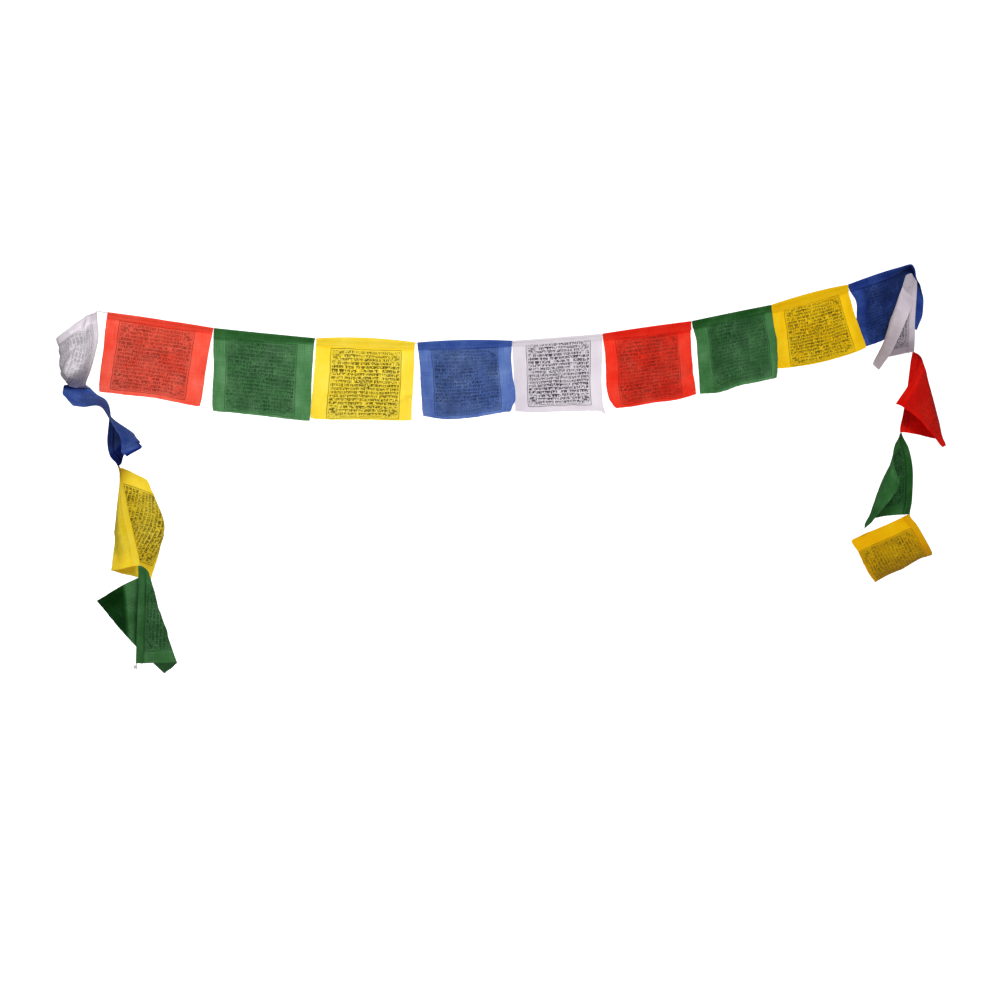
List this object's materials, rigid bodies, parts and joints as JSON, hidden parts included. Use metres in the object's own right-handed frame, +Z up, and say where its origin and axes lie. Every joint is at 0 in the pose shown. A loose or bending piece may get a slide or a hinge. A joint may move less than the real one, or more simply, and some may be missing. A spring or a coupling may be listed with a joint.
{
  "type": "tibetan prayer flag string",
  "caption": "String of small printed cotton flags threaded on a cord, hung in a shallow sag between pins with both ends trailing down in loose folds.",
  "frame": {"origin": "where the cord passes over the left pin", "axes": "+X runs level from the left pin towards the right one, +Z is up, and -Y is the side that the printed faces of the span look to"},
  "size_m": [1.6965, 0.2163, 0.6699],
  "materials": {
    "blue_voile": "thin matt cotton voile with block print",
    "white_voile": "thin matt cotton voile with block print",
    "red_voile": "thin matt cotton voile with block print",
    "green_voile": "thin matt cotton voile with block print",
    "yellow_voile": "thin matt cotton voile with block print",
    "cotton_cord": "plied matt cotton"
  },
  "bodies": {
    "root": {"flag_01_green": "green_voile", "flag_02_yellow": "yellow_voile", "flag_03_blue": "blue_voile", "flag_04_white": "white_voile", "flag_05_red": "red_voile", "flag_06_green": "green_voile", "flag_07_yellow": "yellow_voile", "flag_08_blue": "blue_voile", "flag_09_white": "white_voile", "flag_10_red": "red_voile", "flag_11_green": "green_voile", "flag_12_yellow": "yellow_voile", "flag_13_blue": "blue_voile", "flag_14_white": "white_voile", "flag_15_red": "red_voile", "flag_16_green": "green_voile", "flag_17_yellow": "yellow_voile", "cord": "cotton_cord"}
  },
  "joints": []
}
